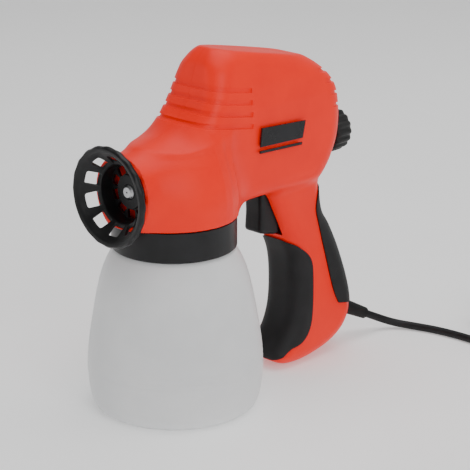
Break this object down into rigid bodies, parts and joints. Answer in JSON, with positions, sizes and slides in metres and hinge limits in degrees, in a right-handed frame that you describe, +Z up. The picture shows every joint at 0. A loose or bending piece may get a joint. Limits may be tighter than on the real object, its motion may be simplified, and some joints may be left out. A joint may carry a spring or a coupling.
{
  "type": "airless paint sprayer",
  "caption": "Handheld electric paint sprayer: pistol-grip piston gun with guarded nozzle, rear adjusting knob, trigger and mains lead over a screw-on paint container.",
  "frame": {"origin": "centre of the container's base, on the surface it stands on", "axes": "+Z up along the container's axis, -Y along the spray, +Y towards the handle, +X to the right side of the gun"},
  "size_m": [0.1917, 0.3467, 0.2283],
  "materials": {
    "orange_housing": "satin moulded orange-red plastic",
    "steel": "machined steel",
    "grip_rubber": "soft matt black rubber",
    "badge_plate": "satin black plate",
    "black_plastic": "satin black plastic",
    "seal_rubber": "black rubber",
    "container_milky": "translucent milky polyethylene",
    "pump_metal": "die cast",
    "brass": "turned brass",
    "spring_steel": "spring wire",
    "clear_tube": "translucent tube",
    "filter_plastic": "white moulded plastic",
    "guard_plastic": "satin black plastic",
    "core_steel": "laminated steel",
    "copper_coil": "enamelled copper winding",
    "knob_plastic": "satin black plastic",
    "trigger_plastic": "satin black plastic",
    "boot_rubber": "matt black rubber",
    "wire_insulation": "blue and brown insulation",
    "cord_rubber": "matt black rubber",
    "plug_plastic": "moulded black plug"
  },
  "bodies": {
    "gun": {"armature_pin": "steel", "atomiser_valve": "brass", "badge_left": "badge_plate", "badge_right": "badge_plate", "cable_clamp": "black_plastic", "clamp_screws": "steel", "coil": "copper_coil", "collar": "black_plastic", "container_seal": "seal_rubber", "cord_coil": "cord_rubber", "electromagnet_core": "core_steel", "front_grip": "grip_rubber", "housing_left": "orange_housing", "housing_right": "orange_housing", "housing_screws": "steel", "lead_wires": "wire_insulation", "mains_cord": "cord_rubber", "piston_spring": "spring_steel", "plug": "plug_plastic", "pump_body": "pump_metal", "rear_grip": "grip_rubber", "return_tube": "clear_tube", "spindle_bush": "brass", "strain_relief": "boot_rubber", "suction_filter": "filter_plastic", "suction_tube": "clear_tube", "switch_body": "black_plastic", "trigger_pin": "steel", "trigger_spring": "spring_steel", "valve_spring": "spring_steel"},
    "container": {"container": "container_milky"},
    "nozzle": {"nozzle_tip": "steel"},
    "guard": {"union_nut": "black_plastic", "nozzle_guard": "guard_plastic"},
    "piston": {"piston": "steel"},
    "armature": {"armature": "core_steel", "armature_bumper": "seal_rubber"},
    "spindle": {"adjusting_spindle": "filter_plastic"},
    "knob": {"adjust_knob": "knob_plastic"},
    "trigger": {"trigger": "trigger_plastic"},
    "switch_plunger": {"switch_plunger": "filter_plastic"}
  },
  "joints": [
    {"name": "container_off", "type": "slide", "parent": "gun", "child": "container", "axis": [0, 0, -1], "range_m": [0, 0.13]},
    {"name": "tip_slide", "type": "slide", "parent": "gun", "child": "nozzle", "axis": [0, -1, 0], "range_m": [0, 0.0046]},
    {"name": "nut_turn", "type": "hinge", "parent": "nozzle", "child": "guard", "pos_m": [0, -0.036, 0.1488], "axis": [0, -1, 0], "range_deg": [0, 1080]},
    {"name": "trigger_pull", "type": "hinge", "parent": "gun", "child": "trigger", "pos_m": [0, 0.0845, 0.1325], "axis": [1, 0, 0], "range_deg": [0, 8], "stiffness_Nm_per_rad": 0.5, "springref_deg": -6.88, "deforming": ["trigger_spring"]},
    {"name": "plunger_slide", "type": "slide", "parent": "gun", "child": "switch_plunger", "axis": [0, 1, 0], "range_m": [0, 0.00205]},
    {"name": "armature_swing", "type": "hinge", "parent": "gun", "child": "armature", "pos_m": [0, 0.055, 0.21], "axis": [-1, 0, 0], "range_deg": [0, 2.8], "stiffness_Nm_per_rad": 6, "springref_deg": -1.15},
    {"name": "piston_slide", "type": "slide", "parent": "gun", "child": "piston", "axis": [0, -1, 0], "range_m": [0, 0.00305], "deforming": ["piston_spring"]},
    {"name": "knob_turn", "type": "hinge", "parent": "gun", "child": "knob", "pos_m": [0, 0.1376, 0.1546], "axis": [0, 1, 0], "range_deg": [0, 300]},
    {"name": "spindle_slide", "type": "slide", "parent": "gun", "child": "spindle", "axis": [0, 1, 0], "range_m": [0, 0.00084]}
  ],
  "couplings": [
    {"joint": "tip_slide", "follows": "nut_turn", "m_per_rad": 0.00023873},
    {"joint": "plunger_slide", "follows": "trigger_pull", "m_per_rad": 0.0145},
    {"joint": "piston_slide", "follows": "armature_swing", "m_per_rad": 0.0615},
    {"joint": "spindle_slide", "follows": "knob_turn", "m_per_rad": 0.00015915}
  ]
}
